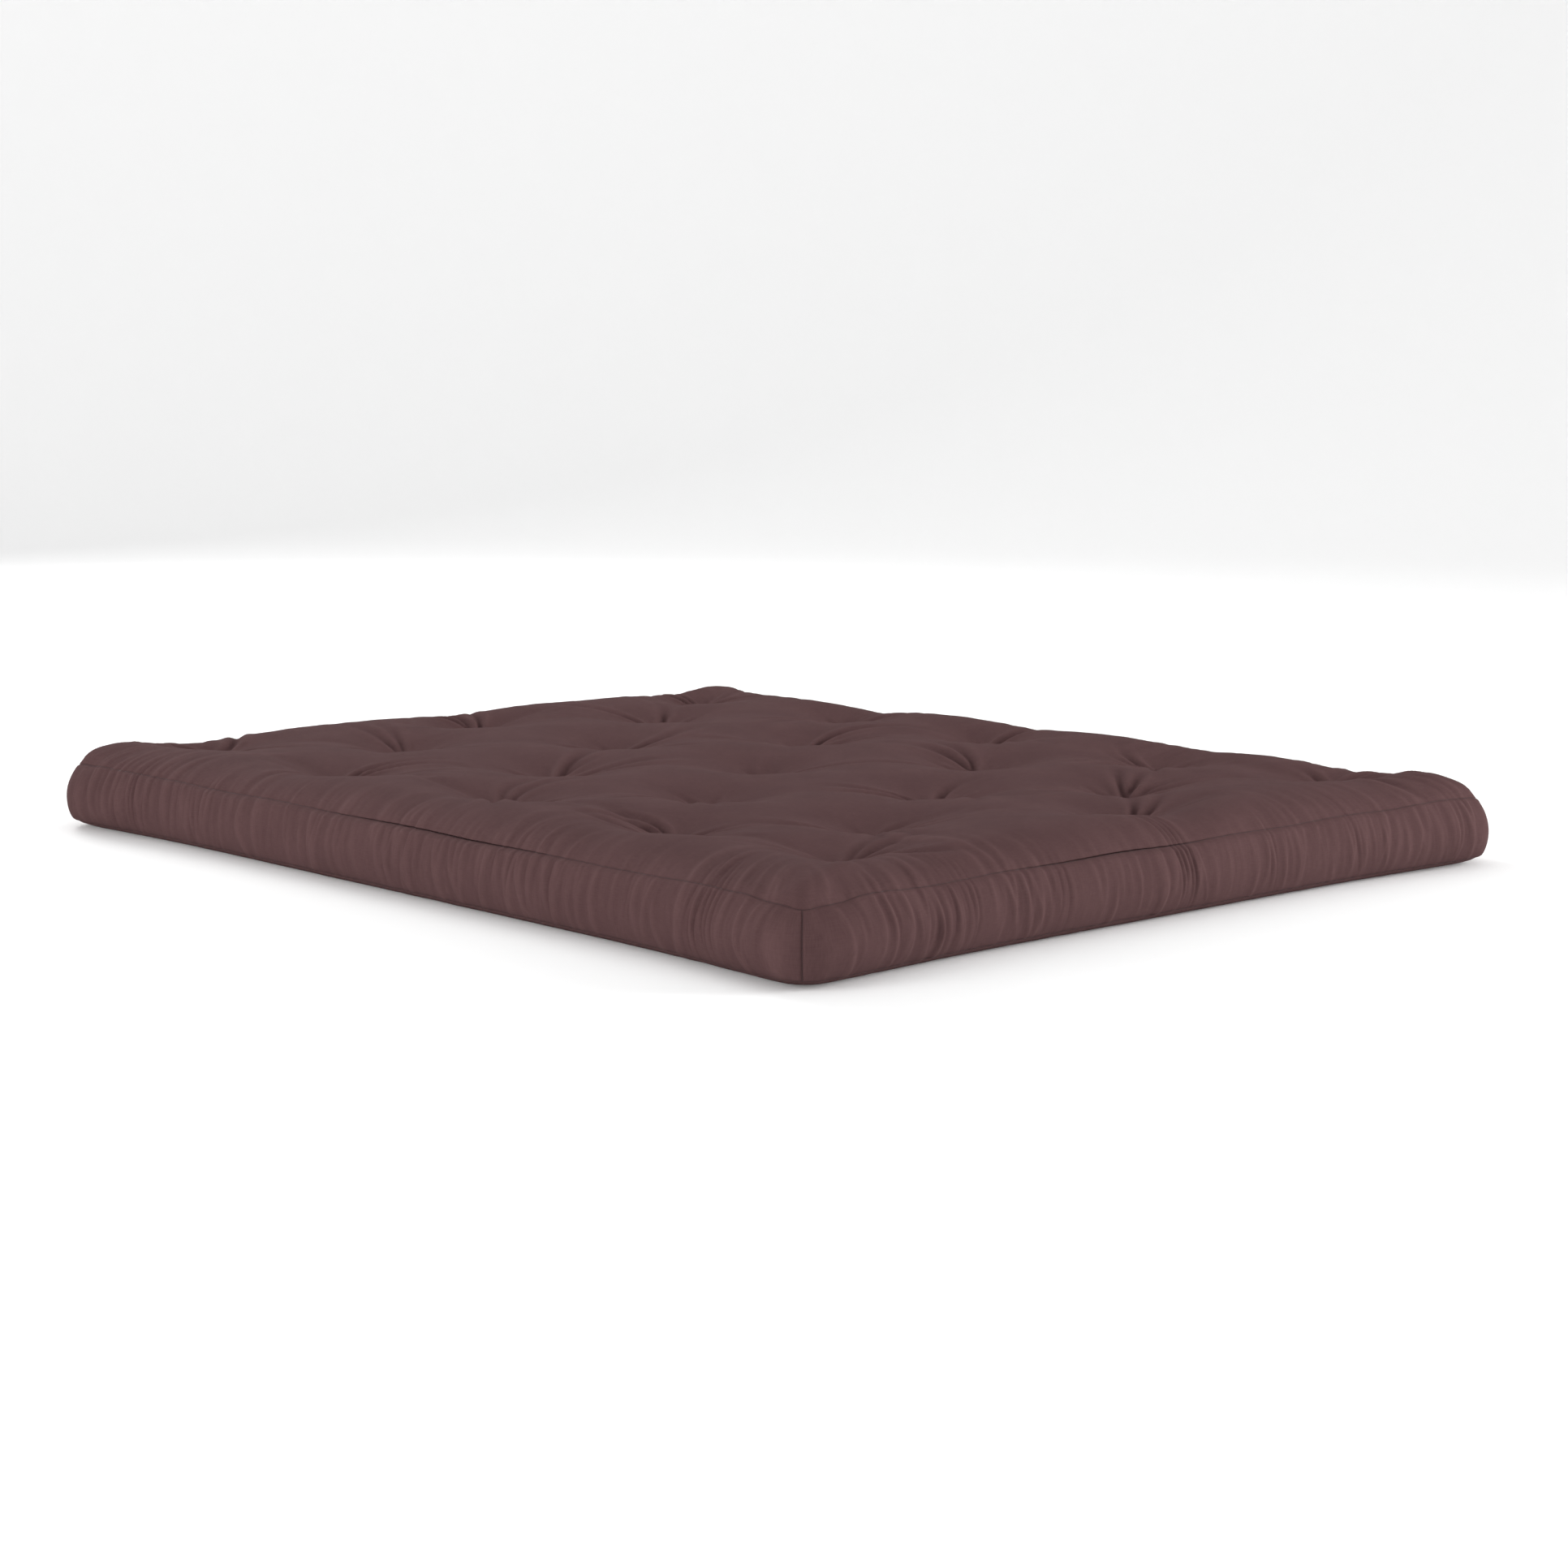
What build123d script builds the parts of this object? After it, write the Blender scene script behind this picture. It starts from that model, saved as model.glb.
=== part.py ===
"""A tufted futon mattress with a box-edged cotton cover, in millimetres.

The origin is the middle of the underside. +X is across the width, +Y along the length, +Z up.
The mattress bends across its width on one line, so whatever crosses that line is made in two
halves: the seat half reaches to -Y and the back half to +Y.
"""

import os

from build123d import *

# Overall size, over the bulge of the sides
WIDTH = 1600
LENGTH = 2020
HEIGHT = 155
CORNER_RADIUS = 62
SHOULDER_RADIUS = 44
BASE_RADIUS = 26

# The fold across the width: the halves stop short of it by half the gap
FOLD_Y = 105
FOLD_GAP = 0.8

# Cover
CLOTH = 1.6
UPPER_SEAM_Z = 118
LOWER_SEAM_Z = 14
SEAM_THREAD = 1.4

# Filling: batts above and below a foam core, which takes up the rest of the height
EASE = 0.3
BATT = 18
BATTS_EACH_SIDE = 3

# Tufts: columns of five, with columns of four set half a pitch along between them. The pattern is
# 300 across and 420 along, and each tuft strays from it by up to 85
TUFT_COLUMNS = (
    ((-533, -810), (-577, -460), (-569, -31), (-598, 412), (-583, 880)),
    ((-305, -635), (-291, -215), (-288, 208), (-291, 662)),
    ((80, -831), (19, -453), (24, -12), (14, 416), (4, 841)),
    ((297, -633), (337, -239), (339, 210), (345, 678)),
    ((654, -801), (592, -456), (601, -8), (631, 425), (625, 876)),
)
DIMPLE_RADIUS = 66
DIMPLE_DEPTH = 34
UNDER_DIMPLE_RADIUS = 22
UNDER_DIMPLE_DEPTH = 11
DIMPLE_FLOOR_RADIUS = 9

# Tufting twine: a stitch in the dimple above, a knot in the small dimple below
TWINE_RADIUS = 1.25
TWINE_HOLE_RADIUS = 1.55
TWINE_EASE = 0.05
STITCH_LENGTH = 9
KNOT_RADIUS = 4.2

SIDE = WIDTH / 2
END = LENGTH / 2
SEAT = (-END, FOLD_Y - FOLD_GAP / 2)
BACK = (FOLD_Y + FOLD_GAP / 2, END)
HALVES = {"seat": SEAT, "back": BACK}
DOWN = (Align.CENTER, Align.CENTER, Align.MAX)
UP = (Align.CENTER, Align.CENTER, Align.MIN)


def tuft_places():
    """The tufts' names and places, by column from the left and by row from the front."""
    places = {}
    for column, rows in enumerate(TUFT_COLUMNS):
        for row, place in enumerate(rows):
            places[f"tuft_tie_{column + 1}_{row + 1}"] = place
    return places


TUFTS = tuft_places()


def points_at(height):
    """Every tuft's place at one height."""
    return [(x, y, height) for x, y in TUFTS.values()]


def mattress_form(inset):
    """The whole mattress as one solid with its dimples, drawn in by the inset all round."""
    floor = DIMPLE_FLOOR_RADIUS + inset
    with BuildPart() as form:
        with BuildSketch(Plane.XY.offset(inset)):
            RectangleRounded(WIDTH - 2 * inset, LENGTH - 2 * inset, CORNER_RADIUS - inset)
        extrude(amount=HEIGHT - 2 * inset)
        fillet(form.faces().sort_by(Axis.Z)[-1].edges(), SHOULDER_RADIUS - inset)
        fillet(form.faces().sort_by(Axis.Z)[0].edges(), BASE_RADIUS - inset)
        with Locations(*points_at(HEIGHT - inset)):
            Cone(floor, DIMPLE_RADIUS + inset, DIMPLE_DEPTH, align=DOWN, mode=Mode.SUBTRACT)
        with Locations(*points_at(inset)):
            Cone(UNDER_DIMPLE_RADIUS + inset, floor, UNDER_DIMPLE_DEPTH, align=UP, mode=Mode.SUBTRACT)
    return form


def cover_shell():
    """The cover all in one: a skin of cloth that lines the dimples, pierced for the twine."""
    with BuildPart() as shell:
        add(mattress_form(0).part)
        add(mattress_form(CLOTH).part, mode=Mode.SUBTRACT)
        with Locations(*points_at(0)):
            Cylinder(TWINE_HOLE_RADIUS, HEIGHT, align=UP, mode=Mode.SUBTRACT)
    return shell


def fill_stack():
    """The filling all in one, clear of the cover and pierced for the twine."""
    with BuildPart() as stack:
        add(mattress_form(CLOTH + EASE).part)
        with Locations(*points_at(0)):
            Cylinder(TWINE_HOLE_RADIUS, HEIGHT, align=UP, mode=Mode.SUBTRACT)
    return stack


def slice_of(solid, y_range, z_range):
    """The stretch of a solid between two places along the length and two heights."""
    front, rear = y_range
    low, high = z_range
    with BuildPart() as piece:
        with BuildSketch(Plane.XY.offset(low)):
            with Locations((0, (front + rear) / 2)):
                Rectangle(WIDTH, rear - front)
        extrude(amount=high - low)
        add(solid, mode=Mode.INTERSECT)
    return piece


def side_band(shell, outline):
    """One strip of the cover's box edge: the skin between the seams, over a plan outline."""
    low = LOWER_SEAM_Z + SEAM_THREAD / 2
    high = UPPER_SEAM_Z - SEAM_THREAD / 2
    with BuildPart() as band:
        with BuildSketch(Plane.XY.offset(low)):
            with BuildLine():
                Polyline(*outline, close=True)
            make_face()
        extrude(amount=high - low)
        add(shell, mode=Mode.INTERSECT)
    return band


def corner_seam(shell, x_sign, y_sign):
    """The upright line of stitching where two bands meet, on the corner's bisector."""
    low = LOWER_SEAM_Z + SEAM_THREAD / 2
    high = UPPER_SEAM_Z - SEAM_THREAD / 2
    across = Plane(
        origin=(x_sign * SIDE, y_sign * END, low),
        x_dir=(x_sign, y_sign, 0),
        z_dir=(0, 0, 1),
    )
    with BuildPart() as seam:
        with BuildSketch(across):
            Rectangle(2 * CORNER_RADIUS, SEAM_THREAD)
        extrude(amount=high - low)
        add(shell, mode=Mode.INTERSECT)
    return seam


def tuft_tie(x, y):
    """One length of twine right through the stack, with its top stitch and its knot below."""
    stitch_z = HEIGHT - DIMPLE_DEPTH + TWINE_RADIUS + TWINE_EASE
    knot_z = UNDER_DIMPLE_DEPTH - KNOT_RADIUS - TWINE_EASE
    with BuildPart(Plane(origin=(x, y, 0))) as tie:
        with Locations((0, 0, knot_z)):
            Cylinder(TWINE_RADIUS, stitch_z - knot_z, align=UP)
            Sphere(KNOT_RADIUS)
        with Locations((0, 0, stitch_z)):
            Cylinder(TWINE_RADIUS, STITCH_LENGTH, rotation=(0, 90, 0))
        with Locations((-STITCH_LENGTH / 2, 0, stitch_z), (STITCH_LENGTH / 2, 0, stitch_z)):
            Sphere(TWINE_RADIUS)
    return tie


def layer_heights():
    """The filling's layers from the bottom up: each one's name and its lower and upper faces."""
    low = CLOTH + EASE
    high = HEIGHT - CLOTH - EASE
    lower = [low + n * BATT for n in range(BATTS_EACH_SIDE + 1)]
    upper = [high - n * BATT for n in range(BATTS_EACH_SIDE + 1)]
    layers = {"foam_core": (lower[-1], upper[-1])}
    for n in range(BATTS_EACH_SIDE):
        layers[f"cotton_batt_lower_{n + 1}"] = (lower[n], lower[n + 1])
        layers[f"cotton_batt_upper_{n + 1}"] = (upper[n + 1], upper[n])
    return layers


def band_outlines():
    """Each band's plan outline: mitred at the corners, and cut off at the fold on the long sides."""
    reach = 2 * CORNER_RADIUS
    gap = SEAM_THREAD / 2**0.5
    outlines = {}
    for name, y_sign in (("front", -1), ("rear", 1)):
        outer = y_sign * END
        inner = y_sign * (END - reach)
        outlines[f"cover_band_{name}"] = [
            (-SIDE + gap, outer),
            (SIDE - gap, outer),
            (SIDE - reach - gap, inner),
            (-SIDE + reach + gap, inner),
        ]
    for name, x_sign in (("left", -1), ("right", 1)):
        outer = x_sign * SIDE
        inner = x_sign * (SIDE - reach)
        for half, (front, rear) in HALVES.items():
            fold = rear if half == "seat" else front
            y_sign = -1 if half == "seat" else 1
            outlines[f"cover_band_{name}_{half}"] = [
                (outer, y_sign * (END - gap)),
                (outer, fold),
                (inner, fold),
                (inner, y_sign * (END - reach - gap)),
            ]
    return outlines


def save(piece, label):
    """Names a finished piece and writes it out."""
    piece.part.label = label
    export_step(piece.part, f"parts/{label}.step")


os.makedirs("parts", exist_ok=True)

cover = cover_shell().part
filling = fill_stack().part
half_thread = SEAM_THREAD / 2

cover_levels = {
    "cover_base_panel": (0, LOWER_SEAM_Z - half_thread),
    "lower_seam": (LOWER_SEAM_Z - half_thread, LOWER_SEAM_Z + half_thread),
    "upper_seam": (UPPER_SEAM_Z - half_thread, UPPER_SEAM_Z + half_thread),
    "cover_top_panel": (UPPER_SEAM_Z + half_thread, HEIGHT),
}
for half, y_range in HALVES.items():
    for name, z_range in cover_levels.items():
        save(slice_of(cover, y_range, z_range), f"{name}_{half}")
    for name, z_range in layer_heights().items():
        save(slice_of(filling, y_range, z_range), f"{name}_{half}")

for name, outline in band_outlines().items():
    save(side_band(cover, outline), name)

for y_name, y_sign in (("front", -1), ("rear", 1)):
    for x_name, x_sign in (("left", -1), ("right", 1)):
        save(corner_seam(cover, x_sign, y_sign), f"corner_seam_{y_name}_{x_name}")

for name, (x, y) in TUFTS.items():
    save(tuft_tie(x, y), name)
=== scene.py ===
import math
import bpy
import numpy as np
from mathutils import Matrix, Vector


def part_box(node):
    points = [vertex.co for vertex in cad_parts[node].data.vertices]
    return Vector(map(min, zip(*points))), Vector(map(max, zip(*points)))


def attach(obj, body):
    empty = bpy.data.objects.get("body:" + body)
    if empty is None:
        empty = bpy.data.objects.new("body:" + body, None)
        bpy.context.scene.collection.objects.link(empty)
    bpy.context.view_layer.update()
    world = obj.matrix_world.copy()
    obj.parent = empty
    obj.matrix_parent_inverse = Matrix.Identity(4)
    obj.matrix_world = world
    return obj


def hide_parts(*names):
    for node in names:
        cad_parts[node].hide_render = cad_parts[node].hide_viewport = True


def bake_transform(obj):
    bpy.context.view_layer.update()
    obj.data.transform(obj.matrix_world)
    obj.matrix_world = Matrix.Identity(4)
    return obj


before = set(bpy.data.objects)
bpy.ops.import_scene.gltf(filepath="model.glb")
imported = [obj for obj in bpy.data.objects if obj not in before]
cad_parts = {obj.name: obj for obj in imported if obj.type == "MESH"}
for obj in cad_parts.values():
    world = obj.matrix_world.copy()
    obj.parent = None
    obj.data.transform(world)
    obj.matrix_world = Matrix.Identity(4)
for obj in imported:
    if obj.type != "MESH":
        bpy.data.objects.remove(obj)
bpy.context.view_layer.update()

# --- Studio ---------------------------------------------------------------------
# A pale floor that sweeps up into a round cove, so that floor and backdrop read as one.
# A large soft light above the far side and a weaker one in front; the view is low, over one corner.
scene = bpy.context.scene
scene.view_settings.view_transform = "Standard"
camera = bpy.data.objects.new("camera", bpy.data.cameras.new("camera"))
scene.collection.objects.link(camera)
scene.camera = camera
camera.location = (-3.634, -4.0995, 0.8789)
camera.rotation_mode = "QUATERNION"
camera.rotation_quaternion = Vector((0.6715, 0.7410, 0)).to_track_quat("-Z", "Y")
camera.data.lens = 69.58
camera.data.sensor_width = 36
camera.data.shift_y = -0.2725
camera.data.clip_end = 60

world = bpy.data.worlds.new("studio")
scene.world = world
world.use_nodes = True
world.node_tree.nodes["Background"].inputs["Color"].default_value = (1, 1, 1, 1)
world.node_tree.nodes["Background"].inputs["Strength"].default_value = 0.62


def soft_light(name, place, width, watts):
    """A square light that looks at the middle of the floor."""
    lamp = bpy.data.lights.new(name, "AREA")
    lamp.shape = "SQUARE"
    lamp.size = width
    lamp.energy = watts
    holder = bpy.data.objects.new(name, lamp)
    scene.collection.objects.link(holder)
    holder.location = place
    holder.rotation_mode = "QUATERNION"
    holder.rotation_quaternion = (-Vector(place)).to_track_quat("-Z", "Y")


soft_light("light_far", (0.5, 6.5, 3.3), 2.6, 252)
soft_light("light_left", (-5.5, 0.2, 1.5), 2.5, 118)
soft_light("light_right", (4.6, -4.8, 1.9), 2.5, 345)

COVE_RADIUS = 13.0
COVE_CURVE = 5.0
COVE_HEIGHT = 9.0
profile = [(0.0, 0.0), (COVE_RADIUS - COVE_CURVE, 0.0)]
for step in range(1, 13):
    turn = step / 12 * math.pi / 2
    profile.append((COVE_RADIUS - COVE_CURVE + COVE_CURVE * math.sin(turn), COVE_CURVE * (1 - math.cos(turn))))
profile.append((COVE_RADIUS, COVE_HEIGHT))
ROUND = 96
points = [(0.0, 0.0, 0.0)]
faces = []
for ring, (out, up) in enumerate(profile[1:]):
    for n in range(ROUND):
        angle = 2 * math.pi * n / ROUND
        points.append((out * math.cos(angle), out * math.sin(angle), up))
        here, after = 1 + ring * ROUND + n, 1 + ring * ROUND + (n + 1) % ROUND
        faces.append((0, here, after) if ring == 0 else (here - ROUND, here, after, after - ROUND))
cove_mesh = bpy.data.meshes.new("studio_cove")
cove_mesh.from_pydata(points, [], faces)
cove_mesh.polygons.foreach_set("use_smooth", [True] * len(faces))
cove = bpy.data.objects.new("studio_cove", cove_mesh)
scene.collection.objects.link(cove)
paper = bpy.data.materials.new("studio_paper")
paper.use_nodes = True
paper.node_tree.nodes["Principled BSDF"].inputs["Base Color"].default_value = (0.90, 0.90, 0.90, 1)
paper.node_tree.nodes["Principled BSDF"].inputs["Roughness"].default_value = 0.95
paper.node_tree.nodes["Principled BSDF"].inputs["Emission Color"].default_value = (1, 1, 1, 1)
paper.node_tree.nodes["Principled BSDF"].inputs["Emission Strength"].default_value = 0.12
cove_mesh.materials.append(paper)

# --- Cover, the sewn form -------------------------------------------------------
# The cover is cut as two panels and four strips of cotton: a top, a base and a box edge between them.
# This section gives the sewn form when stuffed: where the seams lie, how the edge bulges between
# them, how the top rises from its seam, and how deep the tufts draw it down.
panel_low, panel_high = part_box("cover_top_panel_seat")
upper_low, upper_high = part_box("upper_seam_seat")
lower_low, lower_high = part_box("lower_seam_seat")
UPPER_SEAM_Z = (upper_low.z + upper_high.z) / 2
LOWER_SEAM_Z = (lower_low.z + lower_high.z) / 2
SEAM_INSET = 0.0110
HALF_WIDTH = panel_high.x - SEAM_INSET
HALF_LENGTH = -panel_low.y - SEAM_INSET
FOLD_Y = (panel_high.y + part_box("cover_top_panel_back")[0].y) / 2
TUFTS = {}
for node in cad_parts:
    if node.startswith("tuft_tie_"):
        tie_low, tie_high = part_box(node)
        TUFTS[node] = ((tie_low.x + tie_high.x) / 2, (tie_low.y + tie_high.y) / 2, tie_low.z, tie_high.z)
TUFT_X = np.array([place[0] for place in TUFTS.values()])
TUFT_Y = np.array([place[1] for place in TUFTS.values()])

CORNER_RADIUS = 0.014
CORNER_TURN = 0.042
CORNER_SWELL = 0.032
CORNER_BELLY = 0.0125
CORNER_BELLY_REACH = 0.20
CORNER_EASE = 0.15
CORNER_PUSH = 0.0135
CORNER_PUSH_REACH = 0.26
SHOULDER_RISE = 0.0335
SHOULDER_REACH = 0.032
SHOULDER_CORNER = 0.58
PILLOW_RISE = 0.0060
TUFT_DRAW = 0.0270
TUFT_SPREAD = 0.050
TUFT_BOWL = 0.0140
BOWL_SPREAD = 0.13
INNER_SAG = 0.0050
VALLEY_DEPTH = 0.0068
VALLEY_WIDTH = 0.030
EDGE_BULGE = 0.0175
HEM_OUT = 0.0020
CORNER_HEM = 0.0100
CORNER_HEM_REACH = 0.20
BASE_CURVE = 0.034
KNOT_HOLLOW = 0.0116


def from_edge(x, y):
    """How far a place on a panel is from the nearest side of its outline."""
    return np.minimum(HALF_WIDTH - np.abs(x), HALF_LENGTH - np.abs(y))


def to_tuft(x, y):
    """How far a place is from the nearest tuft."""
    far = np.full(np.shape(x), 9.0)
    for tuft_x, tuft_y in zip(TUFT_X, TUFT_Y):
        far = np.minimum(far, np.hypot(x - tuft_x, y - tuft_y))
    return far


def tuft_bowls(x, y):
    """The wide bowl that each tuft draws in the filling, as a share of its depth."""
    bowl = np.zeros(np.shape(x))
    for tuft_x, tuft_y in zip(TUFT_X, TUFT_Y):
        bowl = bowl + np.exp(-((x - tuft_x) ** 2 + (y - tuft_y) ** 2) / BOWL_SPREAD**2)
    return bowl


def round_corners(x, y, half_width, half_length, radius):
    """Takes places on a rectangle's outline to the same outline with rounded corners."""
    long_side = half_width - np.abs(x) <= half_length - np.abs(y)
    reach = np.where(long_side, half_length, half_width)
    share = np.where(long_side, np.abs(y), np.abs(x)) / reach
    along = share * (reach - radius * (1 - math.pi / 4))
    turn = np.clip((along - (reach - radius)) / np.maximum(radius, 1e-9), 0, math.pi / 4)
    far = np.minimum(along, reach - radius) + radius * np.sin(turn)
    drawn = radius * (1 - np.cos(turn))
    new_x = np.where(long_side, half_width - drawn, far)
    new_y = np.where(long_side, far, half_length - drawn)
    return np.copysign(new_x, x), np.copysign(new_y, y)


def panel_plan(x, y, grow=0.0, extra=0.0):
    """Where a place on a flat panel lies in plan once its corners are rounded."""
    edge = from_edge(x, y)
    radius = (CORNER_RADIUS + extra) * np.clip(1 - edge / CORNER_EASE, 0, 1) ** 1.5
    return round_corners(x, y, HALF_WIDTH + grow - edge, HALF_LENGTH + grow - edge, radius)


def corner_push(x, y):
    """How far the stuffed corners stand out beyond the middle of the sides."""
    return CORNER_PUSH * np.exp(-((from_corner(x, y) / CORNER_PUSH_REACH) ** 2))


def from_corner(x, y):
    """How far a place on the outline is from the nearest corner."""
    return np.hypot(HALF_WIDTH - np.abs(x), HALF_LENGTH - np.abs(y))


def valleys(x, y):
    """How deep the cloth is drawn down on the lines from tuft to tuft, and from tufts to the sides."""
    lines = []
    for n in range(len(TUFT_X)):
        for m in range(n + 1, len(TUFT_X)):
            gap = math.hypot(TUFT_X[n] - TUFT_X[m], TUFT_Y[n] - TUFT_Y[m])
            if gap < 0.47:
                same_column = abs(TUFT_X[n] - TUFT_X[m]) < 0.1
                lines.append((TUFT_X[n], TUFT_Y[n], TUFT_X[m], TUFT_Y[m], 0.5 if same_column else 1.0))
        if abs(TUFT_X[n]) > 0.5:
            lines.append((TUFT_X[n], TUFT_Y[n], np.copysign(HALF_WIDTH, TUFT_X[n]), TUFT_Y[n], 0.6))
        if abs(TUFT_Y[n]) > 0.8:
            lines.append((TUFT_X[n], TUFT_Y[n], TUFT_X[n], np.copysign(HALF_LENGTH, TUFT_Y[n]), 0.6))
    rng = np.random.default_rng(63)
    deep = np.zeros(np.shape(x))
    for ax, ay, bx, by, strength in lines:
        run = math.hypot(bx - ax, by - ay)
        share = ((x - ax) * (bx - ax) + (y - ay) * (by - ay)) / run**2
        bow = rng.normal(0, 0.012)
        off = ((x - ax) * (ay - by) + (y - ay) * (bx - ax)) / run - bow * np.sin(math.pi * np.clip(share, 0, 1))
        inside = np.clip(share / 0.06, 0, 1) * np.clip((1 - share) / 0.06, 0, 1)
        depth = strength * rng.uniform(0.4, 1.25) * (0.35 + 0.65 * np.abs(2 * share - 1) ** 1.4)
        width = VALLEY_WIDTH * rng.uniform(0.7, 1.2)
        deep = np.maximum(deep, depth * inside * np.exp(-((off / width) ** 2)))
    return VALLEY_DEPTH * deep * np.clip(from_edge(x, y) / 0.06, 0, 1)


def hem_out(x, y):
    """How far the lower seam stands out past the upper one, most at the corners."""
    return HEM_OUT + CORNER_HEM * np.exp(-((from_corner(x, y) / CORNER_HEM_REACH) ** 2))


def corner_dip(x, y):
    """The seam's short dip where two strips meet it at a corner."""
    off = np.hypot(HALF_WIDTH - np.abs(x), HALF_LENGTH - np.abs(y))
    return 0.006 * np.exp(-((off / 0.022) ** 1.5))


def seam_waver(x, y):
    """The stuffed seam's slow rise and fall."""
    return 0.0016 * np.sin(9.1 * x + 1.3) * np.sin(7.3 * y + 0.4) + 0.0010 * np.sin(23 * x - 17 * y)


def top_form(x, y):
    """The top panel as points, for places on the flat panel."""
    edge = from_edge(x, y)
    tuft = to_tuft(x, y)
    plan_x, plan_y = panel_plan(x, y)
    seam_x, seam_y = panel_to_outline(x, y)
    reach = SHOULDER_REACH * (1 - SHOULDER_CORNER * np.exp(-((from_corner(seam_x, seam_y) / 0.20) ** 2)))
    z = UPPER_SEAM_Z + SHOULDER_RISE * (1 - np.exp(-edge / reach))
    z = z + PILLOW_RISE * (1 - np.exp(-((tuft / 0.11) ** 2))) * np.clip(edge / 0.08, 0, 1)
    z = z - TUFT_DRAW * np.exp(-((tuft / TUFT_SPREAD) ** 1.0)) - valleys(x, y) * np.clip(tuft / 0.03, 0, 1)
    z = z - TUFT_BOWL * tuft_bowls(x, y) * np.clip(edge / 0.15, 0, 1) - INNER_SAG * np.clip((edge - 0.12) / 0.25, 0, 1)
    z = z - corner_dip(x, y) + seam_waver(x, y) * np.exp(-edge / 0.15)
    z = z + 0.0026 * np.sin(5.1 * x + 2) * np.sin(4.3 * y - 1) * np.clip(tuft / 0.1, 0, 1)
    push = corner_push(*panel_to_outline(x, y)) * np.clip(1 - edge / 0.12, 0, 1)
    norm_x, norm_y = outward(*panel_to_outline(x, y))
    return np.stack([plan_x + norm_x * push, plan_y + norm_y * push, z], -1)


def band_form(x, y, down):
    """The box edge as points: places on the outline, and a share of the way down from seam to seam."""
    grow = EDGE_BULGE * np.sin(math.pi * np.clip(down, 0, 1)) ** 0.7 + hem_out(x, y) * down
    belly = CORNER_BELLY * np.exp(-((from_corner(x, y) / CORNER_BELLY_REACH) ** 2))
    grow = grow + corner_push(x, y) + belly * np.sin(math.pi * np.clip(down, 0, 1)) ** 0.7
    radius = CORNER_RADIUS + CORNER_SWELL * np.sin(math.pi * np.clip(down, 0, 1)) ** 0.7 + 0.010 * down
    plan_x, plan_y = round_corners(x, y, HALF_WIDTH, HALF_LENGTH, radius)
    norm_x, norm_y = outward(x, y)
    z = UPPER_SEAM_Z + (LOWER_SEAM_Z - UPPER_SEAM_Z) * down
    z = z - (corner_dip(x, y) - seam_waver(x, y)) * (1 - down) ** 2
    return np.stack([plan_x + norm_x * grow, plan_y + norm_y * grow, z], -1)


def outward(x, y):
    """The level direction out of the mattress at a place on the outline, turned round the corners."""
    long_side = HALF_WIDTH - np.abs(x) <= HALF_LENGTH - np.abs(y)
    reach = np.where(long_side, HALF_LENGTH, HALF_WIDTH)
    share = np.where(long_side, np.abs(y), np.abs(x)) / reach
    along = share * (reach - CORNER_TURN * (1 - math.pi / 4))
    turn = np.clip((along - (reach - CORNER_TURN)) / CORNER_TURN, 0, math.pi / 4)
    near, far = np.cos(turn), np.sin(turn)
    return np.sign(x) * np.where(long_side, near, far), np.sign(y) * np.where(long_side, far, near)


def base_form(x, y):
    """The base panel as points: curved under from its seam, flat, and hollowed for each knot."""
    edge = from_edge(x, y)
    plan_x, plan_y = panel_plan(x, y, extra=0.010)
    norm_x, norm_y = outward(*panel_to_outline(x, y))
    seam_x, seam_y = panel_to_outline(x, y)
    grow = (hem_out(seam_x, seam_y) + corner_push(seam_x, seam_y)) * np.clip(1 - edge / 0.06, 0, 1)
    tilt = np.clip(1 - edge / BASE_CURVE, 0, 1)
    z = LOWER_SEAM_Z * tilt**2.4
    z = np.maximum(z, KNOT_HOLLOW * np.exp(-((to_tuft(x, y) / 0.017) ** 4)))
    return np.stack([plan_x + norm_x * grow, plan_y + norm_y * grow, z], -1)


def panel_to_outline(x, y):
    """The place on the outline that a place on a panel is nearest to."""
    long_side = HALF_WIDTH - np.abs(x) <= HALF_LENGTH - np.abs(y)
    edge = from_edge(x, y)
    slip = edge * np.clip(np.abs(np.where(long_side, y / HALF_LENGTH, x / HALF_WIDTH)), 0, 1) ** 5
    out_x = np.where(long_side, np.copysign(HALF_WIDTH, x), np.clip(x + np.copysign(slip, x), -HALF_WIDTH, HALF_WIDTH))
    out_y = np.where(long_side, np.clip(y + np.copysign(slip, y), -HALF_LENGTH, HALF_LENGTH), np.copysign(HALF_LENGTH, y))
    return out_x, out_y


# --- Cover, the stuffed cloth ---------------------------------------------------
# The cloth is cut a little fuller than the form, so stuffing leaves it with folds and puckers.
# A cloth simulation of the top and box edge, held at the tufts and along the lower seam, gives them.
CELL = 0.0095
COLUMNS = 2 * round(HALF_WIDTH / CELL)
ROWS = 2 * round(HALF_LENGTH / CELL)
BAND_ROWS = 12
AROUND = 2 * (COLUMNS + ROWS)
TOP_FULLNESS = 1.035
BAND_FULLNESS = 1.06
STEPS = 15


def wandering(places, pitch, seed):
    """A value that wanders along a line, the same one for the same seed."""
    knots = np.random.default_rng(seed).normal(0, 1, 4000)
    return np.interp(places / pitch + 2000, np.arange(4000), knots)


def outline_places(columns, rows):
    """The outline as places in order round it, from the front left corner along the front."""
    across = np.linspace(-HALF_WIDTH, HALF_WIDTH, columns + 1)
    along = np.linspace(-HALF_LENGTH, HALF_LENGTH, rows + 1)
    x = np.concatenate([across[:-1], np.full(rows, HALF_WIDTH), across[:0:-1], np.full(rows, -HALF_WIDTH)])
    y = np.concatenate([np.full(columns, -HALF_LENGTH), along[:-1], np.full(columns, HALF_LENGTH), along[:0:-1]])
    return x, y


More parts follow.
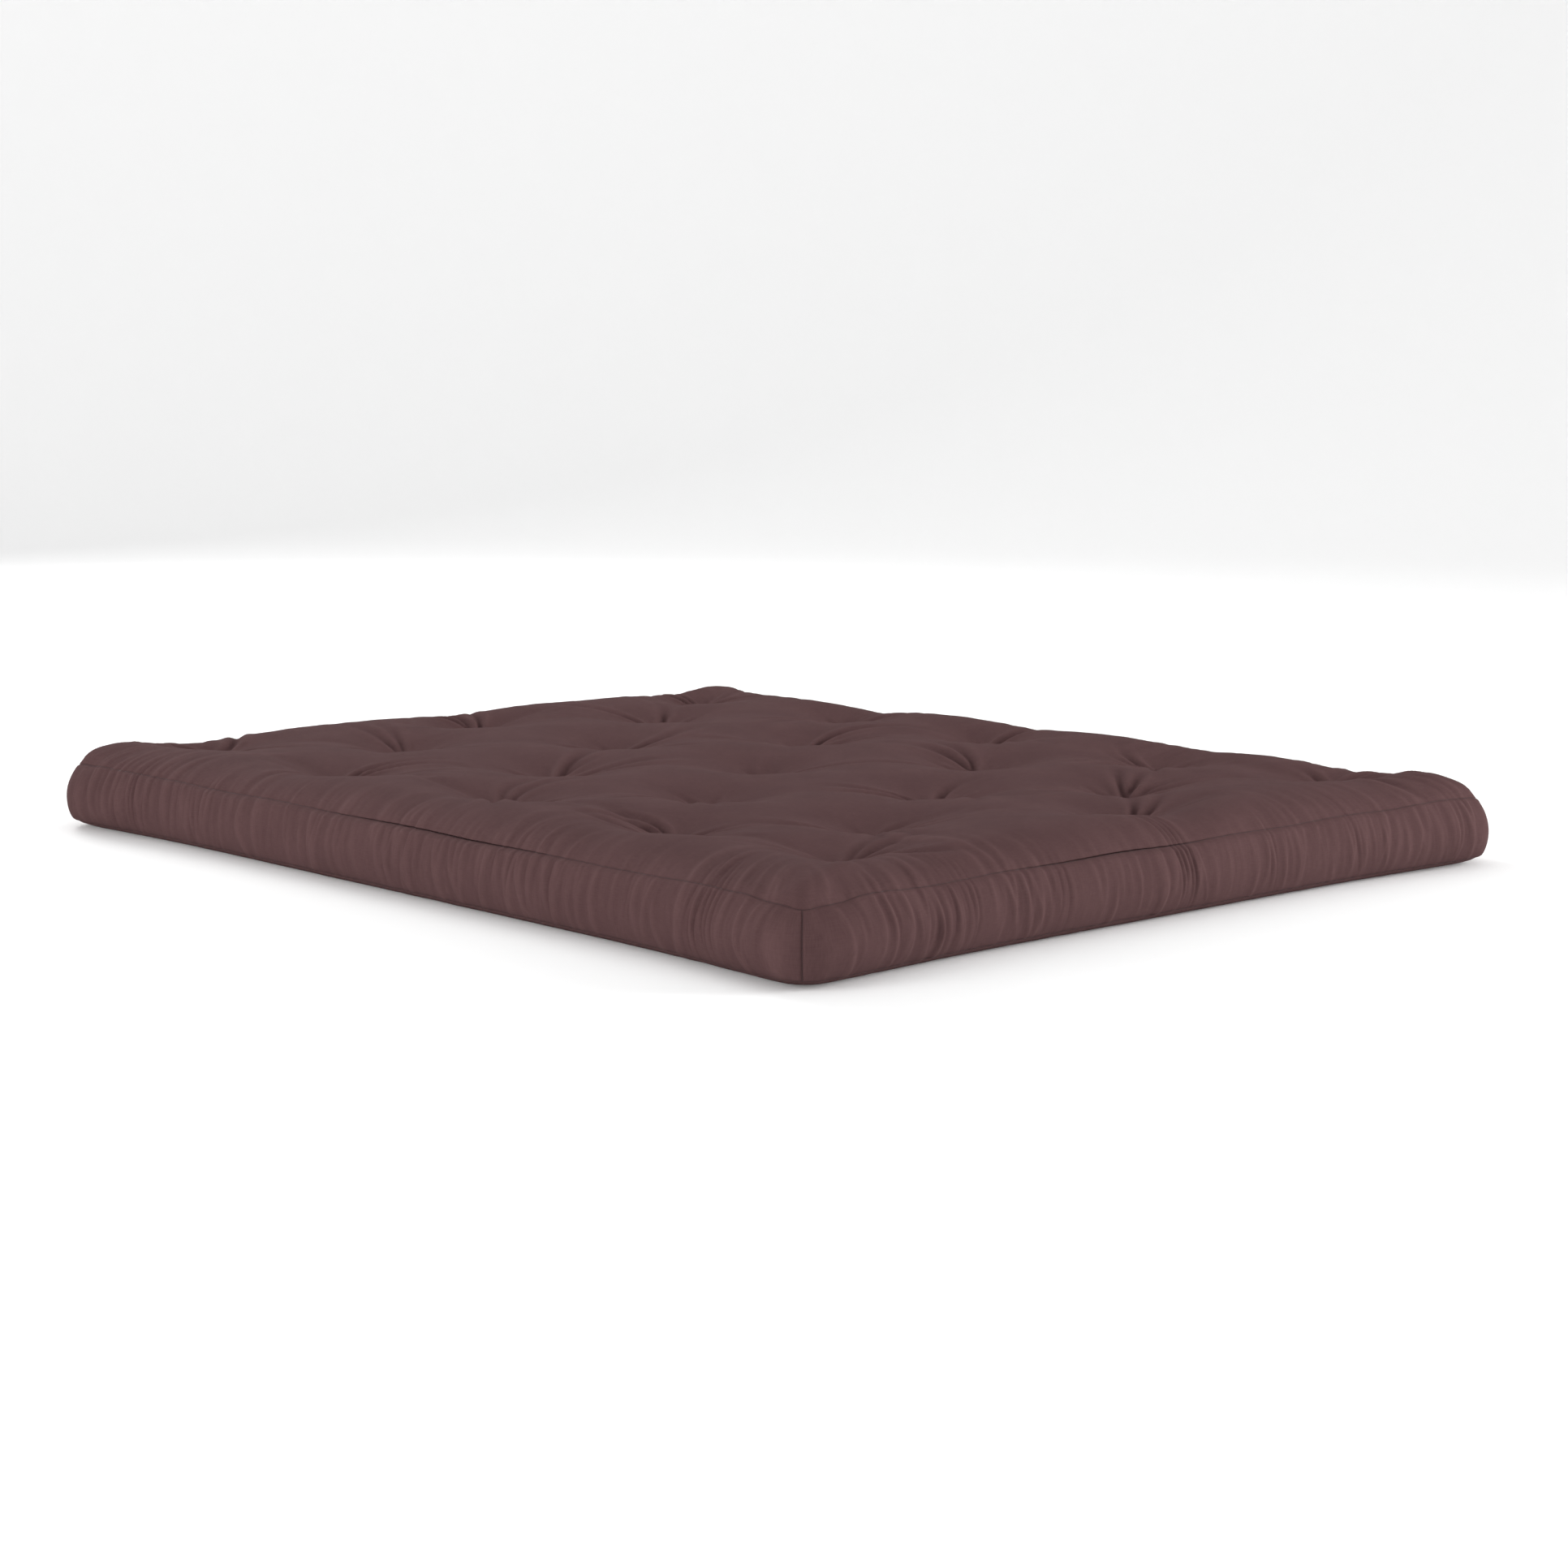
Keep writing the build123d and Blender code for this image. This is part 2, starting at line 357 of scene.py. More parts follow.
def soften(grid, times, around=False):
    """Evens out a grid of moves by averaging neighbours many times."""
    for _ in range(times):
        for axis in (0, 1):
            if around and axis == 1:
                before, after = np.roll(grid, 1, 1), np.roll(grid, -1, 1)
            else:
                ends = [(0, 0)] * grid.ndim
                ends[axis] = (1, 1)
                wide = np.pad(grid, ends, mode="edge")
                before = np.take(wide, range(0, grid.shape[axis]), axis)
                after = np.take(wide, range(2, grid.shape[axis] + 2), axis)
            grid = (before + 2 * grid + after) / 4
    return grid


def stuffed_cloth():
    """Runs the cloth and gives back how far it moved: a grid for the top, and one for the edge."""
    grid_x, grid_y = np.meshgrid(
        np.linspace(-HALF_WIDTH, HALF_WIDTH, COLUMNS + 1),
        np.linspace(-HALF_LENGTH, HALF_LENGTH, ROWS + 1), indexing="ij")
    number = np.arange(grid_x.size).reshape(grid_x.shape)
    loop = np.concatenate([number[:-1, 0], number[-1, :-1], number[:0:-1, -1], number[0, :0:-1]])
    loop_x, loop_y = outline_places(COLUMNS, ROWS)
    start = [top_form(grid_x.ravel(), grid_y.ravel())]
    flat_x, flat_y = [grid_x.ravel()], [grid_y.ravel()]
    rings = [loop]
    norm_x, norm_y = outward(loop_x, loop_y)
    place = np.arange(AROUND) * CELL
    corner = np.clip(from_corner(loop_x, loop_y) / 0.05, 0, 1)
    pucker = (wandering(place, 0.010, 11) + wandering(place, 0.022, 12) + wandering(place, 0.05, 13)) * corner
    for row in range(1, BAND_ROWS + 1):
        down = row / BAND_ROWS
        ring = band_form(loop_x, loop_y, np.full(AROUND, down))
        push = 0.0015 * pucker * math.sin(math.pi * down)
        ring[:, 0] += norm_x * push
        ring[:, 1] += norm_y * push
        start.append(ring)
        flat_x.append(loop_x)
        flat_y.append(loop_y)
        rings.append(grid_x.size + (row - 1) * AROUND + np.arange(AROUND))
    start = np.concatenate(start)
    flat_x, flat_y = np.concatenate(flat_x), np.concatenate(flat_y)
    edge = from_edge(grid_x, grid_y).ravel()
    out_x, out_y = panel_to_outline(grid_x.ravel(), grid_y.ravel())
    seam_place = out_x * 1.7 + out_y
    start[:grid_x.size, 2] += 0.0012 * np.exp(-edge / 0.06) * np.clip(edge / 0.01, 0, 1) * (
        wandering(seam_place, 0.011, 21) + wandering(seam_place, 0.024, 22))
    top_faces = np.stack([number[:-1, :-1], number[1:, :-1], number[1:, 1:], number[:-1, 1:]], -1).reshape(-1, 4)
    edge_faces = [np.stack([b, np.roll(b, -1), np.roll(a, -1), a], -1) for a, b in zip(rings[:-1], rings[1:])]
    all_faces = np.concatenate([top_faces] + edge_faces)
    before = start.copy()
    slack = start.copy()
    top = slice(0, grid_x.size)
    slack[:, :2] *= BAND_FULLNESS
    slack[top, :2] = start[top, :2] * TOP_FULLNESS
    mesh = bpy.data.meshes.new("stuffed_cloth")
    mesh.from_pydata(start.tolist(), [], all_faces.tolist())
    mesh.update()
    cloth = bpy.data.objects.new("stuffed_cloth", mesh)
    scene.collection.objects.link(cloth)
    cloth.shape_key_add(name="Basis")
    cut = cloth.shape_key_add(name="cut")
    cut.data.foreach_set("co", slack.ravel())
    held = [int(n) for n in rings[-1]]
    held += [int(n) for n in np.flatnonzero(to_tuft(grid_x.ravel(), grid_y.ravel()) < 0.008)]
    corners = (0, COLUMNS, COLUMNS + ROWS, 2 * COLUMNS + ROWS)
    held += [int(ring[corner_column]) for ring in rings for corner_column in corners]
    group = cloth.vertex_groups.new(name="held")
    group.add(sorted(set(held)), 1.0, "REPLACE")
    modifier = cloth.modifiers.new("cloth", "CLOTH")
    cotton = modifier.settings
    cotton.quality = 4
    cotton.mass = 0.01
    cotton.tension_stiffness = cotton.compression_stiffness = 20
    cotton.shear_stiffness = 5
    cotton.bending_stiffness = 0.02
    cotton.tension_damping = cotton.compression_damping = cotton.shear_damping = 2
    cotton.bending_damping = 0.1
    cotton.air_damping = 1
    cotton.use_pressure = True
    cotton.uniform_pressure_force = 4
    cotton.vertex_group_mass = "held"
    cotton.rest_shape_key = cut
    cotton.effector_weights.gravity = 0
    modifier.collision_settings.use_collision = False
    modifier.point_cache.frame_end = STEPS + 1
    scene.frame_start, scene.frame_end = 1, STEPS
    for step in range(1, STEPS + 1):
        scene.frame_set(step)
    evaluated = cloth.evaluated_get(bpy.context.evaluated_depsgraph_get())
    after = np.zeros(len(start) * 3, np.float32)
    evaluated.data.vertices.foreach_get("co", after)
    scene.frame_set(1)
    bpy.data.objects.remove(cloth)
    bpy.data.meshes.remove(mesh)
    moved = after.reshape(-1, 3).astype(float) - before
    top_moves = moved[top].reshape(COLUMNS + 1, ROWS + 1, 3)
    edge_moves = np.stack([moved[ring] for ring in rings])
    return top_moves, edge_moves


def limited(moves, most):
    """Keeps a cloth's moves under a cap, without a break at the cap."""
    size = np.linalg.norm(moves, axis=-1, keepdims=True)
    return moves * np.tanh(size / most) * most / np.maximum(size, 1e-9)


top_moves = np.zeros((COLUMNS + 1, ROWS + 1, 3))
edge_moves = np.zeros((BAND_ROWS + 1, AROUND, 3))
top_moves, edge_moves = stuffed_cloth()
broad_top, broad_edge = soften(top_moves, 40), soften(edge_moves, 8, around=True)
top_moves, edge_moves = soften(top_moves, 1), soften(edge_moves, 3, around=True)
top_moves = limited(0.25 * broad_top + 1.4 * (top_moves - broad_top), 0.012)
edge_moves = limited(0.25 * broad_edge + 1.0 * (edge_moves - broad_edge), 0.006)
edge_moves[0] = np.concatenate(
    [top_moves[:-1, 0], top_moves[-1, :-1], top_moves[:0:-1, -1], top_moves[0, :0:-1]])


def read_grid(grid, row, column, around=False):
    """Reads a grid of moves smoothly between its points."""
    moved = 0
    rows, columns = grid.shape[:2]
    row_start = np.clip(np.floor(row).astype(int), 0, rows - 2)
    if around:
        column_start = np.floor(column).astype(int)
    else:
        column_start = np.clip(np.floor(column).astype(int), 0, columns - 2)

    def weights(share):
        return (
            -0.5 * share + share**2 - 0.5 * share**3,
            1 - 2.5 * share**2 + 1.5 * share**3,
            0.5 * share + 2 * share**2 - 1.5 * share**3,
            -0.5 * share**2 + 0.5 * share**3)

    for row_step, row_weight in zip((-1, 0, 1, 2), weights(row - row_start)):
        r = np.clip(row_start + row_step, 0, rows - 1)
        for column_step, column_weight in zip((-1, 0, 1, 2), weights(column - column_start)):
            c = column_start + column_step
            c = c % columns if around else np.clip(c, 0, columns - 1)
            moved = moved + grid[r, c] * (row_weight * column_weight)[..., None]
    return moved


def top_moved(x, y):
    """How far the stuffed cloth moved at places on the top panel."""
    return read_grid(top_moves, (x + HALF_WIDTH) / (2 * HALF_WIDTH) * COLUMNS,
                     (y + HALF_LENGTH) / (2 * HALF_LENGTH) * ROWS)


def edge_moved(place, down):
    """How far it moved on the box edge, at places in metres round the outline."""
    return read_grid(edge_moves, down * BAND_ROWS, outline_column(place), around=True)


def outline_column(place):
    """The simulated column at a distance round the outline."""
    turns = np.cumsum([0, 2 * HALF_WIDTH, 2 * HALF_LENGTH, 2 * HALF_WIDTH, 2 * HALF_LENGTH])
    columns = np.cumsum([0, COLUMNS, ROWS, COLUMNS, ROWS])
    return np.interp(place, turns, columns)


def outline_distance(x, y):
    """The distance round the outline to places on it."""
    side = np.select(
        [np.isclose(y, -HALF_LENGTH), np.isclose(x, HALF_WIDTH), np.isclose(y, HALF_LENGTH)], [0, 1, 2], 3)
    w, l = HALF_WIDTH, HALF_LENGTH
    return np.choose(side, [x + w, 2 * w + y + l, 2 * w + 2 * l + w - x, 4 * w + 2 * l + l - y])


# --- Cover, gathers and tuft creases --------------------------------------------
# The box edge is eased on to the panels, which leaves upright gathers of every strength along the
# upper seam, with a few hard pleats where the fullness was caught. Each tuft pulls creases in.
OUTLINE = 4 * (HALF_WIDTH + HALF_LENGTH)
CORNER_PLACES = np.cumsum([0, 2 * HALF_WIDTH, 2 * HALF_LENGTH, 2 * HALF_WIDTH, 2 * HALF_LENGTH])
PLEATS = (
    # distance round the outline, how many, spacing, height (sunk is minus), how far on to the top
    (HALF_WIDTH + 0.010, 4, 0.0115, -0.0072, 0.090),
    (HALF_WIDTH + 0.226, 2, 0.0120, -0.0032, 0.020),
    (HALF_WIDTH + 0.440, 3, 0.0140, -0.0026, 0.030),
    (HALF_WIDTH - 0.270, 2, 0.0150, -0.0024, 0.025),
    (2 * HALF_WIDTH + HALF_LENGTH - 0.430, 4, 0.0100, -0.0044, 0.060),
    (3 * HALF_WIDTH + 2 * HALF_LENGTH - 0.040, 4, 0.0105, -0.0048, 0.060),
    (4 * HALF_WIDTH + 3 * HALF_LENGTH - 0.790, 2, 0.0110, -0.0056, 0.015),
    (4 * HALF_WIDTH + 3 * HALF_LENGTH - 0.560, 2, 0.0160, -0.0028, 0.030),
    (4 * HALF_WIDTH + 3 * HALF_LENGTH + 0.350, 2, 0.0140, -0.0028, 0.035),
    (4 * HALF_WIDTH + 3 * HALF_LENGTH + 0.800, 3, 0.0120, -0.0030, 0.030),
    (OUTLINE - 0.170, 4, 0.0135, -0.0044, 0.060),
    (0.300, 5, 0.0145, -0.0036, 0.055),
)
GATHER_FIELDS = ("place", "height", "width", "lean", "bend", "top_reach", "middle", "band_reach")


def drawn_gathers():
    """Every gather: where it stands, how high and wide it is, and how far it runs up and down."""
    rng = np.random.default_rng(41)
    rows = []
    for pitch, height, width, reach in ((0.0210, 0.0032, 0.0072, 0.040), (0.0120, 0.0013, 0.0042, 0.024), (0.0070, 0.00035, 0.0025, 0.010)):
        place = 0.0
        while place < OUTLINE:
            place += pitch * rng.gamma(4, 0.25)
            strength = 0.35 + 0.60 * abs(wandering(np.array([place]), 0.11, 5)[0])
            by_corner = math.exp(-((np.abs(place - CORNER_PLACES).min() / 0.30) ** 2))
            strength *= 1 + 0.4 * by_corner
            rows.append((
                place, min(height * strength * rng.lognormal(0, 0.5), 0.0042), width * rng.uniform(0.75, 1.5),
                rng.normal(0, 0.07), rng.normal(0, 0.9), reach * (1 + 0.9 * by_corner) * rng.lognormal(0, 0.6),
                rng.choice([0.012, 0.03, 0.055, 0.085], p=[0.4, 0.3, 0.2, 0.1]), rng.uniform(0.03, 0.075)))
    for place, count, spacing, height, reach in PLEATS:
        lean = rng.normal(0, 0.06)
        for n in range(count):
            rows.append((place + (n - (count - 1) / 2) * spacing * rng.uniform(0.9, 1.1),
                         height * rng.uniform(0.75, 1.1), 0.0027 * rng.uniform(0.9, 1.2), lean,
                         rng.normal(0, 0.4), reach * rng.uniform(0.7, 1.2), 0.02, rng.uniform(0.05, 0.07)))
    return dict(zip(GATHER_FIELDS, np.array(rows).T))


GATHERS = drawn_gathers()


def gathered(place, height, corner):
    """How far the gathers stand out, by distance round, height over the seam (down is minus) and from a corner."""
    order = np.argsort(place)
    place_in_order, height_in_order = place[order], height[order]
    total = np.zeros(len(place))
    for shift in (-OUTLINE, 0.0, OUTLINE):
        for n in range(len(GATHERS["place"])):
            g = {key: values[n] for key, values in GATHERS.items()}
            near = 0.012 + 4 * g["width"]
            first, last = np.searchsorted(place_in_order, (g["place"] + shift - near, g["place"] + shift + near))
            if first == last:
                continue
            up = height_in_order[first:last]
            crest = g["place"] + shift + g["lean"] * up + g["bend"] * up**2
            width = g["width"] * (1 + np.clip(up, 0, None) / 0.11)
            across = (place_in_order[first:last] - crest) / width
            ridge = np.exp(-np.abs(across) ** 1.6) - 0.42 * np.exp(-((across / 2.0) ** 2))
            on_top = 0.62 * np.exp(-np.clip(up, 0, None) / g["top_reach"])
            on_band = 0.10 + 0.95 * np.exp(-((np.clip(-up, 0, None) - g["middle"]) / g["band_reach"]) ** 2)
            at_seam = 0.10 + 0.95 * math.exp(-((g["middle"] / g["band_reach"]) ** 2))
            total[first:last] += g["height"] * ridge * np.where(up > 0, on_top * at_seam / 0.62, on_band)
    result = np.zeros(len(place))
    result[order] = total
    return result * np.clip(corner / 0.035, 0, 1) * (1 - 0.35 * np.exp(-((height / 0.003) ** 2)))


CREASE_DEPTH = 0.0108


def tuft_creases(x, y):
    """How far the creases round the tufts sink, on the top panel."""
    rng = np.random.default_rng(97)
    sunk = np.zeros(len(x))
    for tuft_x, tuft_y in zip(TUFT_X, TUFT_Y):
        near = np.flatnonzero(np.hypot(x - tuft_x, y - tuft_y) < 0.34)
        away_x, away_y = x[near] - tuft_x, y[near] - tuft_y
        r = np.hypot(away_x, away_y)
        angle = np.arctan2(away_y, away_x)
        heading = rng.uniform(0, 2 * math.pi)
        for strength, reach in rng.permutation([(1.0, 0.130), (0.8, 0.095), (0.60, 0.155), (0.4, 0.070), (0.25, 0.055)]):
            heading += 2 * math.pi / 5 * rng.uniform(0.6, 1.4)
            bend = rng.normal(0, 2.6)
            width = rng.uniform(0.0032, 0.0046)
            twins = (0.0, rng.choice([-1, 1]) * rng.uniform(0.20, 0.32)) if rng.random() < strength * 0.8 else (0.0,)
            for twin in twins:
                length = reach * rng.uniform(0.7, 1.2)
                off = np.angle(np.exp(1j * (angle - heading - twin - bend * r)))
                sideways = r * np.sin(np.clip(off, -math.pi / 2, math.pi / 2))
                broad = width + 0.058 * r
                fades = np.clip(r / 0.012, 0, 1) * np.exp(-((r / length) ** 2.0))
                valley = np.exp(-((sideways / broad) ** 2)) - 0.5 * np.exp(-((np.abs(sideways) / broad - 1.9) ** 2))
                sunk[near] -= CREASE_DEPTH * strength * fades * valley * (np.abs(off) < math.pi / 2)
    return sunk


# --- Cotton for the cover -------------------------------------------------------
# Undyed-back cotton drill, piece dyed a brown mauve: dead matt, a fine diagonal twill, short slubs,
# and painted light and shade: a painted highlight where gathers stand proud, and painted shade in their valleys and in
# the tuft creases.


class Wire:
    """A node's output that can be used in sums."""

    def __init__(self, finish, socket):
        self.finish, self.socket = finish, socket

    def sum(self, operation, first, second):
        return self.finish.node("ShaderNodeMath", {"operation": operation}, {0: first, 1: second})

    def __add__(self, other):
        return self.sum("ADD", self, other)

    def __radd__(self, other):
        return self.sum("ADD", other, self)

    def __sub__(self, other):
        return self.sum("SUBTRACT", self, other)

    def __rsub__(self, other):
        return self.sum("SUBTRACT", other, self)

    def __mul__(self, other):
        return self.sum("MULTIPLY", self, other)

    def __rmul__(self, other):
        return self.sum("MULTIPLY", other, self)


class Finish:
    """One material, built up from nodes."""

    def __init__(self, name, roughness, sheen=0.0, specular=0.3):
        self.material = bpy.data.materials.new(name)
        self.material.use_nodes = True
        self.tree = self.material.node_tree
        self.shader = self.tree.nodes["Principled BSDF"]
        self.shader.inputs["Roughness"].default_value = roughness
        self.shader.inputs["Sheen Weight"].default_value = sheen
        self.shader.inputs["Sheen Roughness"].default_value = 0.5
        self.shader.inputs["Specular IOR Level"].default_value = specular

    def node(self, kind, settings, inputs, output=0):
        made = self.tree.nodes.new(kind)
        for key, value in settings.items():
            setattr(made, key, value)
        for key, value in inputs.items():
            if isinstance(value, Wire):
                self.tree.links.new(value.socket, made.inputs[key])
            else:
                made.inputs[key].default_value = value
        return Wire(self, made.outputs[output])

    def feed(self, name, wire):
        self.tree.links.new(wire.socket, self.shader.inputs[name])

    def mix(self, share, first, second):
        return self.node("ShaderNodeMix", {"data_type": "RGBA"}, {0: share, 6: first, 7: second}, output=2)

    def noise(self, place, scale, detail=2.0, rough=0.5):
        return self.node("ShaderNodeTexNoise", {}, {"Vector": place, "Scale": scale, "Detail": detail, "Roughness": rough})

    def bump(self, height, strength, distance):
        self.feed("Normal", self.node("ShaderNodeBump", {}, {"Height": height, "Strength": strength, "Distance": distance}))


def cotton_drill():
    finish = Finish("cotton_drill", 0.95, sheen=0.0, specular=0.02)
    cut = finish.node("ShaderNodeUVMap", {"uv_map": "cut"}, {})
    parts = finish.node("ShaderNodeSeparateXYZ", {}, {0: cut}), finish.node("ShaderNodeSeparateXYZ", {}, {0: cut}, output=1)
    across, along = parts
    TWILL = 2 * math.pi / 0.0014
    THREAD = 2 * math.pi / 0.0007
    twill = finish.node("ShaderNodeMath", {"operation": "SINE"}, {0: (across + along) * TWILL})
    warp = finish.node("ShaderNodeMath", {"operation": "SINE"}, {0: across * THREAD})
    weft = finish.node("ShaderNodeMath", {"operation": "SINE"}, {0: along * THREAD})
    weave = twill * 0.5 + warp * weft * 0.5
    stretched = finish.node("ShaderNodeMapping", {}, {"Vector": cut, "Scale": (900.0, 60.0, 1.0)})
    crosswise = finish.node("ShaderNodeMapping", {}, {"Vector": cut, "Scale": (60.0, 900.0, 1.0)})
    slub = finish.noise(stretched, 1.0, 3.0, 0.6) + finish.noise(crosswise, 1.0, 3.0, 0.6)
    cloud = finish.noise(cut, 9.0, 3.0, 0.55)
    fuzz = finish.noise(cut, 1400.0, 2.0, 0.7)
    # Painted light and shade: this attribute is plus on gather ridges and minus in their valleys and in the tuft
    # creases, so it lightens the base colour on ridges and darkens it in valleys and creases.
    painted_fold_shading = finish.node("ShaderNodeAttribute", {"attribute_name": "painted_fold_shading"}, {}, output=2)
    shade = (slub - 1.0) * 0.55 + (cloud - 0.5) * 0.5 + (fuzz - 0.5) * 0.35 + weave * 0.05 + painted_fold_shading * 0.20 + 0.5
    share = finish.node("ShaderNodeClamp", {}, {0: shade})
    finish.feed("Base Color", finish.mix(share, (0.058, 0.030, 0.031, 1), (0.112, 0.062, 0.062, 1)))
    finish.feed("Roughness", finish.node("ShaderNodeClamp", {}, {0: 0.96 - fuzz * 0.10 - painted_fold_shading * 0.03}))
    finish.bump(weave * 0.6 + fuzz * 0.5 + slub * 0.4, 0.28, 0.0004)
    return finish.material


COTTON = cotton_drill()


def new_piece(name, points, faces, material, cut=None, painted_fold_shading=None):
    """A smooth mesh object at the origin, with its cutting plan as a UV map."""
    mesh = bpy.data.meshes.new(name)
    mesh.from_pydata(points.tolist() if hasattr(points, "tolist") else points, [], faces)
    mesh.update()
    mesh.polygons.foreach_set("use_smooth", np.ones(len(mesh.polygons), bool))
    if cut is not None:
        corners = np.zeros(len(mesh.loops), np.int32)
        mesh.loops.foreach_get("vertex_index", corners)
        mesh.uv_layers.new(name="cut").data.foreach_set("uv", np.asarray(cut)[corners].astype(np.float32).ravel())
    # Stores the painted light and shade of gathers and creases as a point attribute for the cotton's colour.
    if painted_fold_shading is not None:
        mesh.attributes.new("painted_fold_shading", "FLOAT", "POINT").data.foreach_set("value", painted_fold_shading.astype(np.float32))
    mesh.materials.append(material)
    piece = bpy.data.objects.new(name, mesh)
    scene.collection.objects.link(piece)
    return piece


def facing(points, faces):
    """The outward direction at each point of a mesh."""
    mesh = bpy.data.meshes.new("facing")
    mesh.from_pydata(points.tolist(), [], faces)
    mesh.update()
    directions = np.zeros(len(points) * 3, np.float32)
    mesh.vertex_normals.foreach_get("vector", directions)
    bpy.data.meshes.remove(mesh)
    return directions.reshape(-1, 3).astype(float)


# --- Cover panels ---------------------------------------------------------------
# One piece of drill each for the top and the base, about 1.6 by 2.0 m as cut, sewn all round to the
# box edge with the raw edges turned in, and drawn down by the tufts.
PANEL_CELL = 0.0080
GROOVE = 0.0011
GROOVE_WIDTH = 0.0010
SEAM_DRAW = 0.0026
TURN_IN = 0.007


def graded_panel(fine_at):
    """A panel's flat places and faces: square cells, quartered where fine_at says so."""
    columns, rows = round(2 * HALF_WIDTH / PANEL_CELL), round(2 * HALF_LENGTH / PANEL_CELL)
    middle_x = (np.arange(columns) + 0.5) / columns * 2 * HALF_WIDTH - HALF_WIDTH
    middle_y = (np.arange(rows) + 0.5) / rows * 2 * HALF_LENGTH - HALF_LENGTH
    fine = fine_at(*np.meshgrid(middle_x, middle_y, indexing="ij"))
    number = np.arange((2 * columns + 1) * (2 * rows + 1)).reshape(2 * columns + 1, 2 * rows + 1)
    faces = []
    around = np.pad(fine, 1)
    for i, j in np.argwhere(~fine):
        p, q = 2 * i, 2 * j
        face = [number[p, q]]
        if around[i + 1, j]:
            face.append(number[p + 1, q])
        face.append(number[p + 2, q])
        if around[i + 2, j + 1]:
            face.append(number[p + 2, q + 1])
        face.append(number[p + 2, q + 2])
        if around[i + 1, j + 2]:
            face.append(number[p + 1, q + 2])
        face.append(number[p, q + 2])
        if around[i, j + 1]:
            face.append(number[p, q + 1])
        faces.append(face)
    for i, j in np.argwhere(fine):
        for p in (2 * i, 2 * i + 1):
            for q in (2 * j, 2 * j + 1):
                faces.append([number[p, q], number[p + 1, q], number[p + 1, q + 1], number[p, q + 1]])
    used = np.unique(np.concatenate([np.array(face) for face in faces]))
    renumber = np.zeros(number.size, int)
    renumber[used] = np.arange(len(used))
    faces = [renumber[face].tolist() for face in faces]
    x = (used // (2 * rows + 1)) / columns * HALF_WIDTH - HALF_WIDTH
    y = (used % (2 * rows + 1)) / rows * HALF_LENGTH - HALF_LENGTH
    rim = [number[:, 0][:-1], number[-1, :][:-1], number[:, -1][:0:-1], number[0, :][:0:-1]]
    rim = [n for n in np.concatenate(rim) if renumber[n] or n == used[0]]
    return x, y, faces, renumber[np.array(rim)]


def turned_in(points, faces, rim, cut, painted_fold_shading, drop, flip=False):
    """Adds the raw edge of a panel, turned in to the mattress behind its seam."""
    norm_x, norm_y = outward(cut[rim, 0], cut[rim, 1])
    inside = points[rim].copy()
    inside[:, 0] -= norm_x * TURN_IN
    inside[:, 1] -= norm_y * TURN_IN
    inside[:, 2] += drop
    first = len(points)
    count = len(rim)
    for n in range(count):
        a, b = int(rim[n]), int(rim[(n + 1) % count])
        c, d = first + (n + 1) % count, first + n
        faces.append([d, c, b, a] if not flip else [a, b, c, d])
    return (np.concatenate([points, inside]), faces, np.concatenate([cut, cut[rim]]), np.concatenate([painted_fold_shading, painted_fold_shading[rim]]))


def close_to_seam(along, half):
    """Draws the first row of places inside an outline close to its seam, so the groove is narrow."""
    gap = half - np.abs(along)
    gap = gap - SEAM_DRAW * np.exp(-(((gap - PANEL_CELL / 2) / 0.003) ** 2)) * (gap > 1e-6)
    return np.copysign(half - gap, along)


def top_fine(x, y):
    return (from_edge(x, y) < 0.068) | (to_tuft(x, y) < 0.080)


x, y, faces, rim = graded_panel(top_fine)
x, y = close_to_seam(x, HALF_WIDTH), close_to_seam(y, HALF_LENGTH)
points = top_form(x, y) + top_moved(x, y)
edge = from_edge(x, y)
seam_x, seam_y = panel_to_outline(x, y)
corner = from_corner(seam_x, seam_y)
rise = gathered(outline_distance(seam_x, seam_y), np.maximum(edge, 0), corner)
rise[edge > 0.25] = 0
creases = tuft_creases(x, y)
level = np.stack([*outward(seam_x, seam_y), np.zeros(len(x))], -1)
hold = np.exp(-((edge / 0.006) ** 2))[:, None]
direction = facing(points, faces) * (1 - hold) + level * hold
points = points + direction * (rise + creases - GROOVE * np.exp(-((edge / GROOVE_WIDTH) ** 2)))[:, None]
cut = np.stack([x, y], -1)
# Painted light and shade for the cotton's colour: lighter on gather ridges, darker in their valleys and in the tuft
# creases.
painted_fold_shading = np.clip(rise / 0.0016, -1, 1) + np.clip(creases / 0.004, -1, 1)
points, faces, cut, painted_fold_shading = turned_in(points, faces, rim, cut, painted_fold_shading, -0.002)
top_panel = new_piece("cover_top_panel", points, faces, COTTON, cut, painted_fold_shading)
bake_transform(top_panel)
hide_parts("cover_top_panel_seat", "cover_top_panel_back")


def base_fine(x, y):
    return to_tuft(x, y) < 0.030


x, y, faces, rim = graded_panel(base_fine)
points = base_form(x, y)
edge = from_edge(x, y)
seam_x, seam_y = panel_to_outline(x, y)
place = outline_distance(seam_x, seam_y)
level = np.stack([*outward(seam_x, seam_y), np.zeros(len(x))], -1)
points = points + level * (gathered(place, np.full(len(x), LOWER_SEAM_Z - UPPER_SEAM_Z), from_corner(seam_x, seam_y))
                           * np.exp(-edge / 0.012) - GROOVE * np.exp(-((edge / GROOVE_WIDTH) ** 2)))[:, None]
points[:, 2] += 0.0004 * wandering(x * 1.7 + y, 0.03, 61) * np.clip(edge / 0.03, 0, 1) + 0.0004
points[:, 2] = np.maximum(points[:, 2], 0)
cut = np.stack([x, y], -1)
points, faces, cut, painted_fold_shading = turned_in(points, faces, rim, cut, np.zeros(len(x)), 0.001)
base_panel = new_piece("cover_base_panel", points, [face[::-1] for face in faces], COTTON, cut, painted_fold_shading)
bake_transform(base_panel)
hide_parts("cover_base_panel_seat", "cover_base_panel_back")
